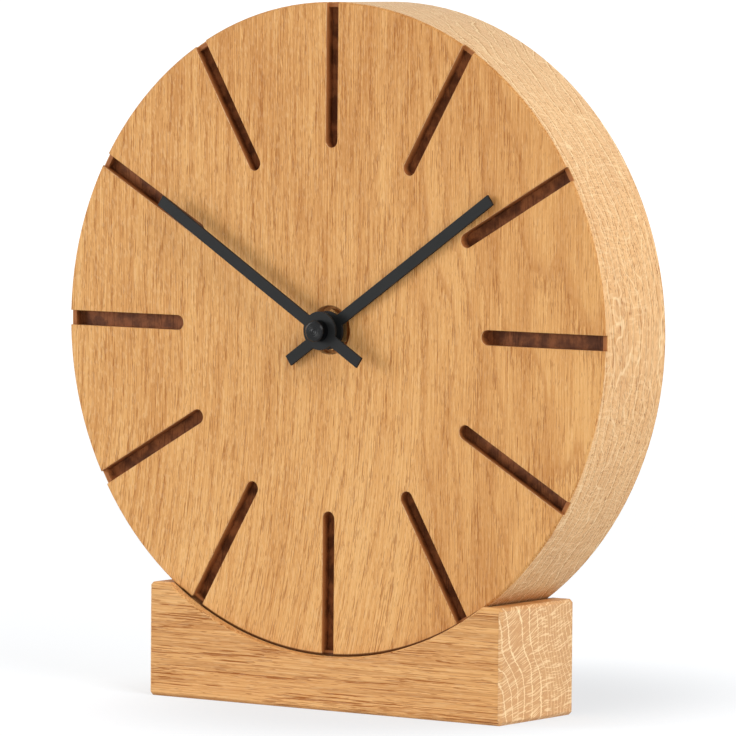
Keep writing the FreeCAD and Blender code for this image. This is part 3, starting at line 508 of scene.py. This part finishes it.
def made_material(
    name, dark, light, roughness, metallic=0.0, speckle=0.25, relief=0.01, edge=0.1, specular=0.5
):
    """A finish between two shades, with a fine grain in colour, roughness and relief.

    The speckle's size, the relief's depth and the edge's radius are in millimetres.
    """
    tree, output, material = new_material(name)
    x, y, z = place_in_object(tree)
    finish = use_group(tree, FINISH, {"X": x, "Y": y, "Z": z, "Grain": speckle})
    shade = finish["Cloud"] * 0.6 + finish["Speckle"] * 0.4
    surface = add_node(tree, "ShaderNodeBsdfPrincipled", {
        "Base Color": blend(shade.fade(0.3, 0.7), dark, light),
        "Roughness": finish["Speckle"] * 0.12 + finish["Wear"] * 0.08 + (roughness - 0.08),
        "Metallic": metallic, "Specular IOR Level": specular,
        "Normal": softened_normal(tree, finish["Speckle"], relief * MM, edge * MM),
    })
    feed(output.inputs["Surface"], surface.outputs[0])
    return material


hand_black = made_material(
    "hand_black", srgb(20, 21, 21), srgb(26, 27, 27), 0.5, relief=0.02, edge=0.18, specular=0.16
)
dress(hand_black, "hour_hand", "minute_hand")

tree, output, material = new_material("cap_black")
x, y, z = place_in_object(tree)
up = z - HANDS_AXIS.z / MM
finish = use_group(tree, FINISH, {"X": x, "Y": y, "Z": z, "Grain": 0.4})
# fine rings left by the lathe
LATHE_STEP = 0.30
turned = noise(distance_from(x, up) / LATHE_STEP, y / LATHE_STEP, 0.0, detail=1.0)
surface = add_node(tree, "ShaderNodeBsdfPrincipled", {
    "Base Color": blend(finish["Cloud"].fade(0.3, 0.7), srgb(4, 4, 5), srgb(8, 8, 9)),
    "Roughness": finish["Speckle"] * 0.06 + 0.17, "Specular IOR Level": 0.25,
    "Normal": softened_normal(tree, turned, 0.07 * MM, 0.5 * MM),
})
feed(output.inputs["Surface"], surface.outputs[0])
dress(material, "hand_cap")


# ------------------------------------------------------------------ fixing on the neck
# A plain brass nut, screwed on the movement's neck in the dial's recess, and a square rubber
# washer behind the wood. Between them they clamp the movement to the disc.

nut_brass = made_material("nut_brass", srgb(168, 122, 70), srgb(194, 146, 88), 0.5, metallic=0.7)
dress(nut_brass, "fixing_nut")
washer_rubber = made_material("washer_rubber", srgb(30, 30, 31), srgb(42, 42, 43), 0.8, relief=0.03)
dress(washer_rubber, "cushion_washer")


# ------------------------------------------------------------------ movement's shells
# Two black moulded shells that snap together, with a fine textured skin. The front one has the
# threaded neck and the cell's bay. A white moulded plate between them carries the arbors.

shell_black = made_material(
    "shell_black", srgb(26, 26, 28), srgb(36, 36, 39), 0.55, speckle=0.35, relief=0.05
)
dress(shell_black, "movement_tray", "movement_cover")
plate_white = made_material("plate_white", srgb(206, 205, 198), srgb(222, 221, 214), 0.5)
dress(plate_white, "middle_plate")


# ------------------------------------------------------------------ wheels and knob
# Moulded wheels in unfilled white plastic, each in one piece with its pinion or pipe and its
# arbors, and a grey knob, pushed on at the back, that sets the hands.

wheel_white = made_material("wheel_white", srgb(216, 213, 200), srgb(232, 229, 218), 0.45)
dress(
    wheel_white, "hour_wheel", "cannon_pinion", "motion_wheel", "centre_wheel", "third_wheel",
    "seconds_wheel", "intermediate_wheel", "rotor",
)
knob_grey = made_material("knob_grey", srgb(70, 71, 74), srgb(86, 87, 90), 0.45, relief=0.03)
dress(knob_grey, "setting_knob")


# ------------------------------------------------------------------ cell and contacts
# One AA cell that lies in its bay: bare metal ends, and a plain printed sleeve that wraps its
# corners. Two nickel plated spring steel contacts, pushed into slots, press on its ends.

CELL_LOW, CELL_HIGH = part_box("battery")
CELL_MIDDLE = (Vector(CELL_LOW) + Vector(CELL_HIGH)) / 2 / MM
SLEEVE_INNER_RADIUS = 5.5

tree, output, material = new_material("cell_metal")
x, y, z = place_in_object(tree)
finish = use_group(tree, FINISH, {"X": x, "Y": y, "Z": z, "Grain": 0.25})
from_cell_axis = distance_from(y - CELL_MIDDLE.y, z - CELL_MIDDLE.z)
sleeve = from_cell_axis.fade(SLEEVE_INNER_RADIUS, SLEEVE_INNER_RADIUS + 0.2)
printed = blend(finish["Cloud"].fade(0.3, 0.7), srgb(92, 106, 120), srgb(106, 120, 134))
metal = blend(finish["Speckle"].fade(0.3, 0.7), srgb(176, 176, 174), srgb(202, 202, 200))
surface = add_node(tree, "ShaderNodeBsdfPrincipled", {
    "Base Color": blend(sleeve, metal, printed), "Roughness": finish["Speckle"] * 0.1 + 0.28,
    "Metallic": sleeve.flipped(), "Normal": softened_normal(tree, finish["Speckle"], 0.004 * MM, 0.4 * MM),
})
feed(output.inputs["Surface"], surface.outputs[0])
dress(material, "battery")

contact_steel = made_material("contact_steel", srgb(170, 170, 166), srgb(200, 200, 196), 0.28, metallic=1.0)
dress(contact_steel, "contact_positive", "contact_negative")


# ------------------------------------------------------------------ motor and circuit
# The stepping motor's standing pieces: iron stator and core, a nylon bobbin and its winding of
# enamelled copper wire. Beside it lies the green board with the crystal in its plated can.

stator_iron = made_material("stator_iron", srgb(140, 140, 143), srgb(165, 165, 168), 0.4, metallic=1.0)
dress(stator_iron, "stator", "coil_core")
bobbin_white = made_material("bobbin_white", srgb(212, 210, 200), srgb(226, 224, 214), 0.5)
dress(bobbin_white, "coil_bobbin")
winding_copper = made_material("winding_copper", srgb(150, 74, 36), srgb(188, 96, 48), 0.35, metallic=0.9)
dress(winding_copper, "coil_winding")
board_green = made_material("board_green", srgb(28, 78, 44), srgb(38, 92, 54), 0.4)
dress(board_green, "circuit_board")
crystal_can = made_material("crystal_can", srgb(180, 180, 180), srgb(205, 205, 205), 0.25, metallic=1.0)
dress(crystal_can, "quartz_crystal")


# ------------------------------------------------------------------ screws under the block
# Two zinc plated steel wood screws with hexagon heads, sunk in counterbores in the block's
# underside. They hold the disc down in the saddle.

screw_steel = made_material("screw_steel", srgb(150, 146, 132), srgb(182, 178, 164), 0.35, metallic=1.0)
dress(screw_steel, "base_screws")
